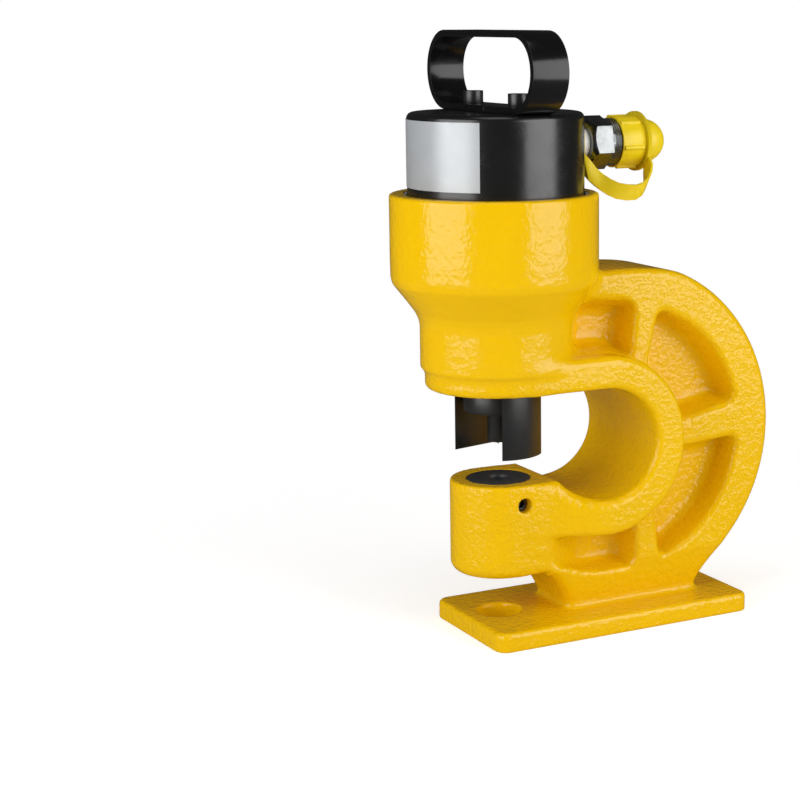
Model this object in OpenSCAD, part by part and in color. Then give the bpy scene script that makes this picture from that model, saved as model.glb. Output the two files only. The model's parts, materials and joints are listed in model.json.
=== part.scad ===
// Hydraulic hole punch head: a cast C-frame with a spring-return ram, punch, stripper fork and die.
// The origin is on the punch axis at the underside of the base. X runs from the punch axis towards
// the closed back of the throat, where the oil coupler also points, and Z is up.

/* [Base plate] */
// Length of the base plate along X
base_l = 192.6; // [180:0.2:210]
// Distance from the punch axis to the front end of the base plate
base_front = 26; // [22:0.5:30]
// Width of the base plate
base_w = 96; // [90:1:110]
// Thickness of the base plate
base_h = 12.7; // [11:0.1:14]
// Corner radius of the base plate
base_r = 7; // [3:0.5:12]
// Radius of the hole that lets the slugs drop
slug_r = 15; // [12:0.5:17]

/* [Throat and C-frame] */
// Depth of the throat from the punch axis to its back wall
throat_depth = 95; // [93:0.5:97]
// Radius of the throat's round end
throat_r = 37.4; // [36.5:0.1:38.5]
// Height of the centre of the throat's round end
throat_z = 127.2; // [126.5:0.1:128]
// Width of the raised band round the throat
band_w = 22.6; // [20:0.2:24]
// Half width of the frame over the raised band
band_y = 47.7; // [46:0.1:48]
// Radius of the outer rim of the frame
rim_r = 116; // [112:0.5:117]
// X of the centre of the outer rim
rim_x = 79; // [77:0.5:81]
// Height of the centre of the outer rim
rim_z = 127.5; // [126:0.5:129]
// Half width of the frame over the outer rim and the ribs
rim_y = 32; // [29:0.5:34]
// Outer radius of the side pockets
pocket_r = 90; // [86:0.5:92]
// Half thickness of the web between the pockets
web_y = 11; // [9:0.5:14]
// How far the pocket walls lean in over their depth
draft = 5.5; // [3:0.5:7]

/* [Anvil] */
// Radius of the anvil boss
anvil_r = 31.5; // [29:0.5:34]
// Height of the top of the anvil
anvil_z = 103.6; // [103:0.1:104.5]
// Height of the underside of the anvil boss
anvil_bottom_z = 42; // [38:0.5:46]
// Radius of the die
die_r = 21; // [19:0.5:23]
// Height of the die
die_h = 18; // [14:0.5:20]
// Radius of the lock screw that holds the die
die_screw_r = 4.9; // [4:0.1:5.5]
// How far the lock screw's axis lies below the top of the anvil
die_screw_down = 13.2; // [12:0.1:14]
// Turn of the lock screw round the die, from square to the frame's side
die_screw_turn = 6; // [0:1:10]

/* [Barrel and cup] */
// Radius of the barrel
barrel_r = 50.3; // [49:0.1:52]
// Radius of the barrel's lower lip
lip_r = 47.4; // [46:0.1:48.4]
// Outer radius of the cup that holds the cylinder
cup_r = 67.6; // [66:0.1:70]
// How far the cup's outside is off the punch axis, towards the front
cup_off = 1.4; // [0:0.1:2]
// Height of the top of the cup
cup_z = 292.4; // [288:0.2:296]

/* [Cylinder] */
// Radius of the hydraulic cylinder
cyl_r = 57; // [56:0.5:58]
// Height of the top of the cylinder
cyl_top_z = 343.3; // [340:0.1:346]
// Radius of the cylinder's bore
bore_r = 37.5; // [35:0.5:39]
// Height of the oil port and the coupler's axis
port_z = 321.2; // [320:0.2:323]

/* [Ram and tooling] */
// Travel of the ram
stroke = 26; // [20:0.5:27]
// Radius of the ram
ram_r = 21.7; // [20:0.1:22]
// Radius of the punch
punch_r = 6.9; // [5:0.1:8]
// Radial gap between the punch and the die's hole
die_gap = 0.2; // [0.1:0.05:0.4]
// Height of the punch's flat end at rest
punch_z = 128.3; // [127.5:0.1:129]
// Radius of the stripper
stripper_r = 29; // [28:0.2:30]
// Half width of the stripper's slot
slot_y = 23.4; // [23.2:0.1:24]
// Turn of the stripper's slot from the X axis
slot_turn = 14; // [0:1:30]
// Height of the stripper's lower end
stripper_z = 120.8; // [119:0.1:122]

/* [Handle] */
// Outer length of the carry handle's loop
handle_l = 149; // [140:1:160]
// Outer height of the carry handle's loop
handle_h = 51.5; // [46:0.5:54]
// Width of the handle's strip
handle_w = 25; // [20:0.5:28]
// Thickness of the handle's strip
handle_t = 4.4; // [3.5:0.1:5]
// Distance of each handle screw from the punch axis
screw_y = 31.2; // [28:0.2:34]

/* [Coupler and dust cap] */
// Width across flats of the coupler's hexagon
hex_af = 31; // [29:0.5:32]
// Radius of the coupler's threaded nose
nose_r = 15.7; // [15:0.1:16]
// Outer radius of the dust cap
cap_r = 17; // [16.8:0.1:18]
// Number of grip ribs round the dust cap
cap_ribs = 6; // [5:1:10]
// Radius of the strap's ring on the dust cap
cap_ring_r = 19.8; // [18.5:0.1:20.5]
// Thickness of the strap
strap_t = 1.5; // [1:0.1:2]
// Turn of the strap's root on the dust cap's ring, from below towards the near side
strap_turn = 49; // [40:1:55]

/* [Hidden] */
$fn = 96;

// Running fit between parts that slide or screw together
fit = 0.05;
// Small overlap that keeps joined solids one piece
lap = 1;
// Half of the box that trims endless shapes
far = 200;

throat_x = throat_depth - throat_r;
throat_top = throat_z + throat_r;
base_back = base_l - base_front;
band_r = throat_r + band_w;
band_x = 57;
band_z = 126;
seat_z = anvil_z - die_h;
slug_path_r = 10;

// Heights inside the barrel and the cup
lip_top_z = 176;
stripper_top_z = 186;
spring_room_r = 36;
cup_floor_z = 236;
cup_cone_z = 212;
chamber_top_z = 314;

// Ram: the piston hangs from the chamber's top with a small oil gap
piston_top_z = 312;
piston_h = 24;
piston_z = piston_top_z - piston_h;
piston_r = bore_r - fit;
// Length of the return spring when the ram is all the way down
spring_solid_l = 50;
bush_top_z = piston_z - stroke - spring_solid_l;
nut_r = 22.8;
nut_z = 149;
nut_h = 23;
nut_thread_r = 15;
punch_head_r = 10;
punch_head_z = nut_z + 3;
rod_seat_z = punch_head_z + 6;
wiper_h = 6;
wiper_r = 24.5;
bush_r = 33;

// Piston screw
p_head_r = 12;
p_head_h = 10;
p_shank_r = 8;
p_shank_l = 32;

// Rings round the piston: inner radius and height over its lower face
seal_in_r = 33;
seal_up = 12;
wear_in_r = 35;
wear_up = 3;
ring_band_h = 6;

// Coupler stations along X
neck_tab_x = cyl_r + 0.9;
washer_x = neck_tab_x + strap_t + 0.2;
washer_l = 5;
washer_r = 10;
hex_x = washer_x + washer_l;
hex_cone_l = 3;
hex_l = 14.5;
hex_turn = -10;
nose_x = hex_x + hex_l;
nose_l = 16.5;
shank_r = 8.5;
shank_l = 14;
valve_r = 5;
cap_x = 86;
cap_l = 20.1;
cap_wall = 1.25;
cap_inner_r = nose_r + fit;
ring_x = cap_x + cap_l - 2.6;
ring_neck_r = 13;
ring_l = 2.2;
knob_r = 14.5;
knob_end_x = 124.8;
ring_tab_r = 20.2;

// A cylinder that lies along X from x
module rod_x(r, l, x = 0) {
    translate([x, 0, 0]) rotate([0, 90, 0]) cylinder(r = r, h = l);
}

// A cylinder that lies along Y, from y outwards to the near side, with a second radius for a draft
module plug_y(x, z, r1, r2, y1, y2) {
    translate([x, -y1, z]) rotate([90, 0, 0]) cylinder(r1 = r1, r2 = r2, h = y2 - y1, $fn = 180);
}

// An outline in X and Z drawn through the thickness from -half to +half
module side_prism(half) {
    rotate([90, 0, 0]) linear_extrude(2 * half, center = true) children();
}

// A rectangle with round corners
module round_rect(l, w, r) {
    square([l - 2 * r, w], center = true);
    square([l, w - 2 * r], center = true);
    for (sx = [-1, 1], sy = [-1, 1])
        translate([sx * (l / 2 - r), sy * (w / 2 - r)]) circle(r);
}

// Hexagonal prism along Z
module hex(af, h) {
    cylinder(r = af / sqrt(3), h = h, $fn = 6);
}

// Casting

module base_plate() {
    translate([(base_back - base_front) / 2, 0, 0])
        linear_extrude(base_h) round_rect(base_l, base_w, base_r);
}

// Side view of the rim, the web and the waisted foot
module side_outline() {
    intersection() {
        translate([rim_x, rim_z]) circle(rim_r, $fn = 180);
        polygon([[0, 58], [22, 50], [22, 39], [far, 39], [far, 300], [0, 300]]);
    }
    polygon([[41, base_h - lap], [39.5, 17], [36, 25], [30, 34], [21, 44], [21, 60], [160, 60],
        [165.2, 50], [157, 40.5], [152, 34.5], [148, 29], [144.5, 23.5], [142.4, 18.5], [145, 14.5],
        [148, base_h - lap]]);
}

// Body of rim, web and foot; the foot narrows towards the base plate
module side_body() {
    foot_y = 22.5;
    crest_z = 44;
    difference() {
        side_prism(rim_y) side_outline();
        for (s = [0, 1]) mirror([0, s, 0]) rotate([90, 0, 90]) linear_extrude(far)
            polygon([[foot_y, 0], [foot_y, base_h], [rim_y + lap, crest_z + 2], [rim_y + lap, 0]]);
    }
}

// Plan of the lower arm, which widens from the anvil to the throat's back
arm_half = [[0, 31.5], [12, 31.5], [20, 32.6], [28, 35.4], [36, 39.2], [44, 42.8], [52, 45.6], [60, 47.2],
    [68, 47.7], [130, 47.7]];
module arm_plan() {
    polygon(concat(arm_half, [for (i = [len(arm_half) - 1:-1:0]) [arm_half[i][0], -arm_half[i][1]]]));
}

// Raised band round the throat, with its straight runs to the barrel and the anvil
module band() {
    difference() {
        side_prism(band_y) {
            translate([band_x, band_z]) circle(band_r, $fn = 180);
            translate([0, band_z - band_r]) square([band_x, 2 * band_r]);
        }
        difference() {
            translate([-lap, -far, 0]) cube([far, 2 * far, throat_z - 20]);
            linear_extrude(throat_z) arm_plan();
        }
    }
}

module anvil_boss() {
    flank = anvil_r - 0.3;
    translate([0, 0, anvil_bottom_z]) cylinder(r = anvil_r, h = anvil_z - anvil_bottom_z);
    translate([0, -flank, anvil_bottom_z]) cube([60, 2 * flank, anvil_z - anvil_bottom_z - 8]);
}

module barrel() {
    translate([0, 0, throat_top]) cylinder(r = lip_r, h = lip_top_z - throat_top + lap);
    translate([0, 0, lip_top_z - 4]) cylinder(r1 = lip_r - 0.2, r2 = barrel_r, h = 6);
    translate([0, 0, lip_top_z + 2]) cylinder(r = barrel_r, h = cup_floor_z - lip_top_z - 4);
}

module cup() {
    translate([-cup_off, 0, cup_cone_z - 1]) cylinder(r1 = barrel_r - cup_off, r2 = cup_r, h = 24);
    translate([-cup_off, 0, cup_cone_z + 23]) cylinder(r = cup_r, h = cup_z - cup_cone_z - 23);
}

// Rib between two pockets on the near side: a bar from (x1, z1) to (x2, z2) with leaning flanks
module rib(x1, z1, x2, z2, width) {
    run = norm([x2 - x1, z2 - z1]);
    turn = atan2(z2 - z1, x2 - x1);
    lean = draft / (rim_y - web_y);
    top = width / 2 - 3 * lean;
    foot = width / 2 + draft + lean;
    translate([x1, 0, z1]) rotate([0, -turn, 0]) rotate([90, 0, 90]) linear_extrude(run)
        polygon([[-rim_y - 3, -top], [-web_y + 1, -foot], [-web_y + 1, foot], [-rim_y - 3, top]]);
}

// Pocket beside the barrel
module front_pocket() {
    intersection() {
        side_prism(far) polygon([[30, 170], [85, 170], [87.5, 213], [80.7, 221.5], [30, 223.5]]);
        linear_extrude(300) polygon([[29, -web_y], [82 - draft, -web_y], [89, -rim_y - 3], [29, -rim_y - 3]]);
        rotate([90, 0, 90]) linear_extrude(far) polygon([[-web_y, 150], [-rim_y - 3, 150],
            [-rim_y - 3, 225.4], [-web_y, 224 - 1.6 * draft]]);
    }
}

// Pocket under the lower arm, whose floor climbs to the anvil's side
module arm_pocket() {
    intersection() {
        side_prism(far) polygon([[26, 45.5], [36.4, 42.8], [48, 38.6], [62, 36.3], [85.7, 36.8], [88, 44],
            [88, 80], [26, 80]]);
        linear_extrude(100) polygon([[25, -rim_y - 3], [58, -web_y - 3], [66, -web_y], [87 - draft, -web_y],
            [89, -rim_y - 3]]);
        rotate([90, 0, 90]) linear_extrude(far) polygon([[-web_y, 42], [-rim_y - 3, 34], [-rim_y - 3, 90],
            [-web_y, 90]]);
    }
}

// All pockets of the near side
module near_pockets() {
    difference() {
        union() {
            difference() {
                plug_y(rim_x, rim_z - 1.5, pocket_r - draft, pocket_r, web_y, rim_y + 2);
                rib(92, 160, 97.5, 225, 16);
                rib(100, 125, 180, 134, 21);
                rib(94.5, 30, 95.5, 85, 15.5);
                translate([-far, -far, -lap]) cube([far + 92, far, 2 * far]);
            }
            front_pocket();
            arm_pocket();
        }
        plug_y(band_x, band_z, band_r - 0.4, band_r - 0.4, web_y - 1, rim_y + 4);
        translate([0, -far, band_z - band_r + 0.5]) cube([band_x, 2 * far, 2 * band_r - 1]);
    }
}

// Openings that take the working parts
module frame_bores() {
    // Throat, open to the front
    side_prism(far) {
        translate([throat_x, throat_z]) circle(throat_r, $fn = 180);
        translate([-far, anvil_z]) square([far + throat_x, throat_top - anvil_z]);
    }
    // Slug hole in the base and slug path under the die
    translate([0, 0, -lap]) cylinder(r = slug_r, h = base_h + 2 * lap);
    translate([0, 0, anvil_bottom_z - lap]) cylinder(r = slug_path_r, h = seat_z - anvil_bottom_z + 2 * lap);
    translate([0, 0, seat_z]) cylinder(r = die_r + fit, h = die_h + lap);
    // Tapped hole of the die's lock screw
    translate([0, 0, anvil_z - die_screw_down]) rotate([90, 0, die_screw_turn])
        cylinder(r = die_screw_r + fit, h = anvil_r + 3);
    // Barrel: stripper thread, bush seat and spring room
    translate([0, 0, throat_top - lap]) cylinder(r = stripper_r + fit, h = stripper_top_z - throat_top + lap);
    translate([0, 0, stripper_top_z]) cylinder(r = bush_r + fit, h = bush_top_z - stripper_top_z);
    translate([0, 0, bush_top_z]) cylinder(r = spring_room_r, h = cup_floor_z - bush_top_z);
    translate([0, 0, cup_floor_z]) cylinder(r = cyl_r + fit, h = cup_z - cup_floor_z + lap);
    lock_screw_holes(fit);
}

module c_frame() {
    color("#f5be05") difference() {
        union() {
            base_plate();
            difference() {
                union() {
                    side_body();
                    anvil_boss();
                }
                near_pockets();
                mirror([0, 1, 0]) near_pockets();
            }
            band();
            barrel();
            cup();
        }
        frame_bores();
    }
}

// Cylinder

// The two grub screws that stand in the seam of cup and cylinder
lock_turn = -30;
lock_r = 3;
lock_l = 10;
module lock_screw_holes(gap) {
    for (a = [lock_turn, lock_turn + 180])
        rotate([0, 0, a]) translate([cyl_r, 0, cup_z - lock_l - lap]) cylinder(r = lock_r + gap, h = 2 * lock_l);
}

cyl_edge = 4;
module cylinder_body() {
    color("#1a1a1b") difference() {
        union() {
            translate([0, 0, cup_floor_z]) cylinder(r = cyl_r, h = cyl_top_z - cyl_edge - cup_floor_z);
            translate([0, 0, cyl_top_z - cyl_edge]) rotate_extrude() {
                square([cyl_r - cyl_edge, cyl_edge]);
                intersection() {
                    translate([cyl_r - cyl_edge, 0]) circle(cyl_edge);
                    square([cyl_r, cyl_edge]);
                }
            }
        }
        translate([0, 0, cup_floor_z - lap]) cylinder(r = bore_r, h = chamber_top_z - cup_floor_z + lap);
        // Oil port: tapped mouth, cross drilling and the drop into the chamber
        translate([0, 0, port_z]) rod_x(shank_r + fit, shank_l + lap + 2, cyl_r - shank_l - 2);
        translate([0, 0, port_z]) rod_x(3, 30, 20);
        translate([22, 0, chamber_top_z - lap]) cylinder(r = 3, h = port_z - chamber_top_z + lap);
        for (s = [-1, 1])
            translate([0, s * screw_y, cyl_top_z - 14]) cylinder(r = 4 + fit, h = 14 + lap);
        difference() {
            lock_screw_holes(fit);
            translate([0, 0, cup_z]) cylinder(r = 2 * cyl_r, h = 2 * lock_l);
        }
    }
}

module cylinder_lock_screws() {
    for (a = [lock_turn, lock_turn + 180])
        color("#2b2b2d") rotate([0, 0, a]) translate([cyl_r, 0, cup_z - lock_l - 0.4]) difference() {
            cylinder(r = lock_r, h = lock_l);
            translate([0, 0, lock_l - 2.5]) hex(3, 3);
        }
}

module label_plate() {
    half_angle = 52.8;
    z1 = cup_z + 3.6;
    z2 = cyl_top_z - cyl_edge - 0.2;
    foil = 0.3;
    color("#c9cdd2") translate([0, 0, z1]) rotate([0, 0, 180 - half_angle])
        rotate_extrude(angle = 2 * half_angle) translate([cyl_r + 2 * fit, 0]) square([foil, z2 - z1]);
}

// Handle

module carry_handle() {
    half_l = handle_l / 2;
    r_out = handle_h / 2;
    straight = half_l - r_out;
    gap = 0.5;
    joint_y = -8;
    color("#141415") translate([0, 0, cyl_top_z + r_out]) difference() {
        rotate([90, 0, 90]) linear_extrude(handle_w, center = true) difference() {
            union() {
                square([2 * straight, handle_h], center = true);
                for (s = [-1, 1]) translate([s * straight, 0]) circle(r_out);
            }
            square([2 * straight, handle_h - 2 * handle_t], center = true);
            for (s = [-1, 1]) translate([s * straight, 0]) circle(r_out - handle_t);
        }
        for (s = [-1, 1])
            translate([0, s * screw_y, -r_out - lap]) cylinder(r = 4.5, h = handle_t + 2 * lap);
        // The strip's ends butt here
        translate([-handle_w, joint_y - gap / 2, -r_out + 1])
            cube([2 * handle_w, gap, handle_t]);
    }
}

module handle_screws() {
    head_r = 6.5;
    head_h = 8;
    shank_l_in = 12;
    for (s = [-1, 1])
        color("#1d1d1f") translate([0, s * screw_y, cyl_top_z + handle_t]) difference() {
            union() {
                cylinder(r = head_r, h = head_h);
                translate([0, 0, -handle_t - shank_l_in]) cylinder(r = 4, h = handle_t + shank_l_in + lap);
            }
            translate([0, 0, head_h - 4]) hex(6, 5);
        }
}

// Oil coupler

module port_washer() {
    color("#e9e8e2") translate([0, 0, port_z]) difference() {
        rod_x(washer_r, washer_l, washer_x);
        rod_x(shank_r + fit, washer_l + 2 * lap, washer_x - lap);
    }
}

module coupler_body() {
    hex_r = hex_af / sqrt(3);
    color("#b9bcbc") translate([0, 0, port_z]) rotate([hex_turn, 0, 0]) difference() {
        union() {
            rod_x(shank_r, hex_x - cyl_r + shank_l + lap, cyl_r - shank_l);
            intersection() {
                translate([hex_x, 0, 0]) rotate([0, 90, 0]) hex(hex_af, hex_l);
                union() {
                    translate([hex_x, 0, 0]) rotate([0, 90, 0])
                        cylinder(r1 = hex_r - 4.5, r2 = hex_r, h = hex_cone_l);
                    rod_x(hex_r + lap, hex_l, hex_x + hex_cone_l);
                }
            }
            rod_x(nose_r, nose_l, nose_x);
        }
        // Oil way, poppet room and mouth of the nose
        rod_x(3, 60, cyl_r - shank_l - lap);
        rod_x(valve_r + 1.2, 30, hex_x + 2);
        rod_x(valve_r + 4, 8, nose_x + nose_l - 7);
    }
}

// Ball-ended poppet that the mating coupler pushes in
poppet_x = nose_x + nose_l - 9;
module valve_poppet() {
    color("#a7a9aa") translate([poppet_x - 8, 0, port_z]) {
        rod_x(valve_r, 6);
        rod_x(3, 9);
    }
}

module poppet_spring() {
    spring_l = poppet_x - 8 - (hex_x + 2);
    color("#8d9092") translate([hex_x + 2, 0, port_z]) difference() {
        rod_x(valve_r, spring_l);
        rod_x(valve_r - 1, spring_l + 2 * lap, -lap);
    }
}

module dust_cap() {
    grip_r = 1.8;
    grip_turn = 41;
    neck_x = ring_x - 0.2;
    neck_l = ring_l + 0.4;
    dome_r = knob_r;
    depth = nose_x + nose_l + 0.5;
    color("#efd204") translate([0, 0, port_z]) {
        rotate([0, 90, 0]) rotate_extrude() difference() {
            union() {
                translate([0, cap_x]) square([cap_r, neck_x - cap_x]);
                translate([0, neck_x - lap]) square([ring_neck_r, neck_l + 2 * lap]);
                intersection() {
                    translate([0, neck_x + neck_l]) square([knob_r, 30]);
                    translate([0, knob_end_x - dome_r]) circle(dome_r);
                }
            }
            translate([-lap, cap_x - lap]) square([cap_inner_r + lap, depth - cap_x + lap]);
            translate([-far, 0]) square([far, far]);
        }
        // Grip ribs, kept out of the bore
        difference() {
            for (i = [0:cap_ribs - 1])
                rotate([grip_turn + i * 360 / cap_ribs, 0, 0]) translate([0, 0, cap_r - 0.4])
                    rod_x(grip_r, neck_x - cap_x - 2.8, cap_x + 0.8);
            rod_x(cap_r - 0.6, cap_l, cap_x);
        }
    }
}

// Flat ring at the strap's end that sits on the cap's neck, with the root of the strap
module cap_ring() {
    color("#efd204") translate([0, 0, port_z]) difference() {
        union() {
            rod_x(cap_ring_r, ring_l, ring_x);
            rotate([-strap_turn, 0, 0]) translate([ring_x, -strap_half, -ring_tab_r])
                cube([ring_l, 2 * strap_half, ring_tab_r - ring_neck_r]);
        }
        rod_x(ring_neck_r + fit, ring_l + 2 * lap, ring_x - lap);
    }
}

// Stations of the band: middle point, then the direction across its width, then its half width
strap_half = 5.3;
root_r = ring_tab_r + 0.4;
strap_path = [
    [[ring_x + ring_l / 2, -root_r * sin(strap_turn), port_z - root_r * cos(strap_turn)],
        [0, cos(strap_turn), -sin(strap_turn)], strap_half],
    [[103, -19.5, 303.5], [-0.15, 0.73, -0.67], strap_half],
    [[100, -24, 299], [-0.05, 0.73, -0.68], strap_half],
    [[96.5, -28, 295], [0.1, 0.66, -0.74], strap_half],
    [[92, -30.5, 292], [0.15, 0.55, -0.82], strap_half],
    [[87, -30.5, 290], [0.1, 0.35, -0.93], strap_half],
    [[81.5, -28.5, 290], [0, 0.15, -0.99], strap_half],
    [[76, -25.5, 291], [-0.2, 0, -0.98], 5.4],
    [[71.5, -22, 293.5], [-0.3, -0.1, -0.94], 5.4],
    [[68, -18.5, 296.5], [-0.3, -0.25, -0.92], 5.6],
    [[64.5, -16, 300], [-0.3, -0.3, -0.9], 6],
    [[61.5, -14, 304], [-0.25, -0.2, -0.95], 6.6],
    [[neck_tab_x + strap_t / 2, -11, 308.5], [0, 0, -1], 7.2]];

function unit(v) = v / norm(v);
function path_way(i) = unit(strap_path[min(i + 1, len(strap_path) - 1)][0] - strap_path[max(i - 1, 0)][0]);
function station(i) =
    let (c = strap_path[i][0], across = unit(strap_path[i][1]), half = strap_path[i][2])
    let (out = unit(cross(path_way(i), across)) * strap_t / 2)
    [c - across * half - out, c + across * half - out, c + across * half + out, c - across * half + out];

module cap_strap() {
    n = len(strap_path);
    tab_half = 11.5;
    points = [for (i = [0:n - 1]) each station(i)];
    sides = [for (i = [0:n - 2], k = [0:3])
        let (a = 4 * i + k, b = 4 * i + (k + 1) % 4)
        each [[a, b + 4, b], [a, a + 4, b + 4]]];
    last = 4 * (n - 1);
    ends = [[0, 1, 2], [0, 2, 3], [last + 2, last + 1, last], [last + 3, last + 2, last]];
    color("#efd204") {
        polyhedron(points = points, faces = concat(sides, ends));
        // Tab with the hole that goes over the coupler's shank
        translate([neck_tab_x, 0, 0]) rotate([90, 0, 90]) linear_extrude(strap_t) difference() {
            union() {
                translate([0, port_z + 4.4]) circle(tab_half);
                translate([-tab_half, port_z - 15]) square([2 * tab_half, 19.4]);
            }
            translate([0, port_z]) circle(shank_r + 0.3);
        }
    }
}

// Ram assembly

module piston_groove(r, up) {
    translate([0, 0, piston_z + up]) difference() {
        cylinder(r = bore_r + lap, h = ring_band_h);
        translate([0, 0, -lap]) cylinder(r = r, h = ring_band_h + 2 * lap);
    }
}

module piston() {
    color("#8f9295") difference() {
        translate([0, 0, piston_z]) cylinder(r = piston_r, h = piston_h);
        piston_groove(seal_in_r, seal_up);
        piston_groove(wear_in_r, wear_up);
        translate([0, 0, piston_z - lap]) cylinder(r = p_shank_r + fit, h = piston_h + 2 * lap);
        translate([0, 0, piston_top_z - p_head_h]) cylinder(r = p_head_r + fit, h = p_head_h + lap);
    }
}

module piston_band(r, up) {
    translate([0, 0, piston_z + up]) difference() {
        cylinder(r = piston_r, h = ring_band_h);
        translate([0, 0, -lap]) cylinder(r = r + fit, h = ring_band_h + 2 * lap);
    }
}

module piston_seal() {
    color("#20303a") piston_band(seal_in_r, seal_up);
}

module piston_wear_ring() {
    color("#b98a4a") piston_band(wear_in_r, wear_up);
}

module piston_screw() {
    color("#2b2b2d") translate([0, 0, piston_top_z - p_head_h]) difference() {
        union() {
            cylinder(r = p_head_r, h = p_head_h);
            translate([0, 0, -p_shank_l]) cylinder(r = p_shank_r, h = p_shank_l + lap);
        }
        translate([0, 0, 4]) hex(14, p_head_h);
    }
}

module ram_rod() {
    color("#c7c9ca") difference() {
        union() {
            translate([0, 0, nut_z + nut_h]) cylinder(r = ram_r, h = piston_z - nut_z - nut_h);
            translate([0, 0, rod_seat_z]) cylinder(r = nut_thread_r, h = nut_z + nut_h - rod_seat_z + lap);
        }
        translate([0, 0, piston_top_z - p_head_h - p_shank_l - lap])
            cylinder(r = p_shank_r + fit, h = p_shank_l + 2 * lap);
    }
}

module punch() {
    pip_r = 1.7;
    pip_h = 2.3;
    color("#303236") {
        translate([0, 0, punch_z - pip_h]) cylinder(r1 = 0.1, r2 = pip_r, h = pip_h);
        translate([0, 0, punch_z]) cylinder(r = punch_r, h = punch_head_z - punch_z + lap);
        translate([0, 0, punch_head_z]) cylinder(r = punch_head_r, h = rod_seat_z - punch_head_z);
    }
}

module punch_nut() {
    color("#1c1d20") translate([0, 0, nut_z]) difference() {
        union() {
            cylinder(r1 = nut_r - 0.8, r2 = nut_r, h = 0.8);
            translate([0, 0, 0.8]) cylinder(r = nut_r, h = 14);
            cylinder(r = ram_r - 0.1, h = nut_h);
        }
        translate([0, 0, -lap]) cylinder(r = punch_r + fit, h = nut_h);
        translate([0, 0, punch_head_z - nut_z]) cylinder(r = punch_head_r + fit, h = nut_h);
        translate([0, 0, rod_seat_z - nut_z]) cylinder(r = nut_thread_r + fit, h = nut_h);
    }
}

module guide_bush() {
    color("#b08d4c") translate([0, 0, stripper_top_z]) difference() {
        cylinder(r = bush_r, h = bush_top_z - stripper_top_z);
        translate([0, 0, -lap]) cylinder(r = ram_r + fit, h = bush_top_z);
        translate([0, 0, -lap]) cylinder(r = wiper_r, h = wiper_h + lap);
    }
}

module rod_wiper() {
    color("#232323") translate([0, 0, stripper_top_z + 0.2]) difference() {
        cylinder(r = wiper_r, h = wiper_h - 0.2);
        translate([0, 0, -lap]) cylinder(r = ram_r + fit, h = wiper_h + 2 * lap);
    }
}

module return_spring() {
    spring_r = 31;
    wire = 6;
    color("#6f7275") translate([0, 0, bush_top_z]) difference() {
        cylinder(r = spring_r, h = piston_z - bush_top_z);
        translate([0, 0, -lap]) cylinder(r = spring_r - wire, h = piston_z);
    }
}

// Fork that strips the work off the punch: a sleeve in the barrel with two legs
module stripper_fork() {
    color("#232428") difference() {
        translate([0, 0, stripper_z]) cylinder(r = stripper_r, h = stripper_top_z - stripper_z);
        translate([0, 0, throat_top]) cylinder(r = nut_r + 0.5, h = stripper_top_z);
        rotate([0, 0, slot_turn]) translate([-2 * stripper_r, -slot_y, stripper_z - lap])
            cube([4 * stripper_r, 2 * slot_y, throat_top + 1 - stripper_z + lap]);
    }
}

module die() {
    land_h = 6;
    color("#34373c") translate([0, 0, seat_z]) difference() {
        cylinder(r = die_r, h = die_h);
        translate([0, 0, -lap]) cylinder(r = punch_r + die_gap, h = die_h + 2 * lap);
        translate([0, 0, -lap]) cylinder(r = punch_r + 1.4, h = die_h - land_h + lap);
        // Groove that the lock screw bites in
        translate([0, 0, die_h - die_screw_down - 3]) difference() {
            cylinder(r = die_r + lap, h = 6);
            translate([0, 0, -lap]) cylinder(r = die_r - 1, h = 8);
        }
    }
}

module die_lock_screw() {
    tip_r = 2.6;
    recess = 5;
    color("#232326") translate([0, 0, anvil_z - die_screw_down]) rotate([90, 0, die_screw_turn]) difference() {
        union() {
            translate([0, 0, die_r - 1]) cylinder(r = tip_r, h = 3);
            translate([0, 0, die_r + 0.3]) cylinder(r = die_screw_r, h = anvil_r - die_r - recess - 0.3);
        }
        translate([0, 0, anvil_r - recess - 4]) hex(5, 6);
    }
}

c_frame();
cylinder_body();
guide_bush();
rod_wiper();
stripper_fork();
die();
die_lock_screw();
cylinder_lock_screws();
carry_handle();
handle_screws();
label_plate();
port_washer();
coupler_body();
valve_poppet();
poppet_spring();
cap_strap();
cap_ring();
dust_cap();
piston();
piston_seal();
piston_wear_ring();
piston_screw();
ram_rod();
punch();
punch_nut();
return_spring();
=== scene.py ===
"""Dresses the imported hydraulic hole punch: casting, cylinder, handle, coupler, cap, tooling and stage."""

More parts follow.
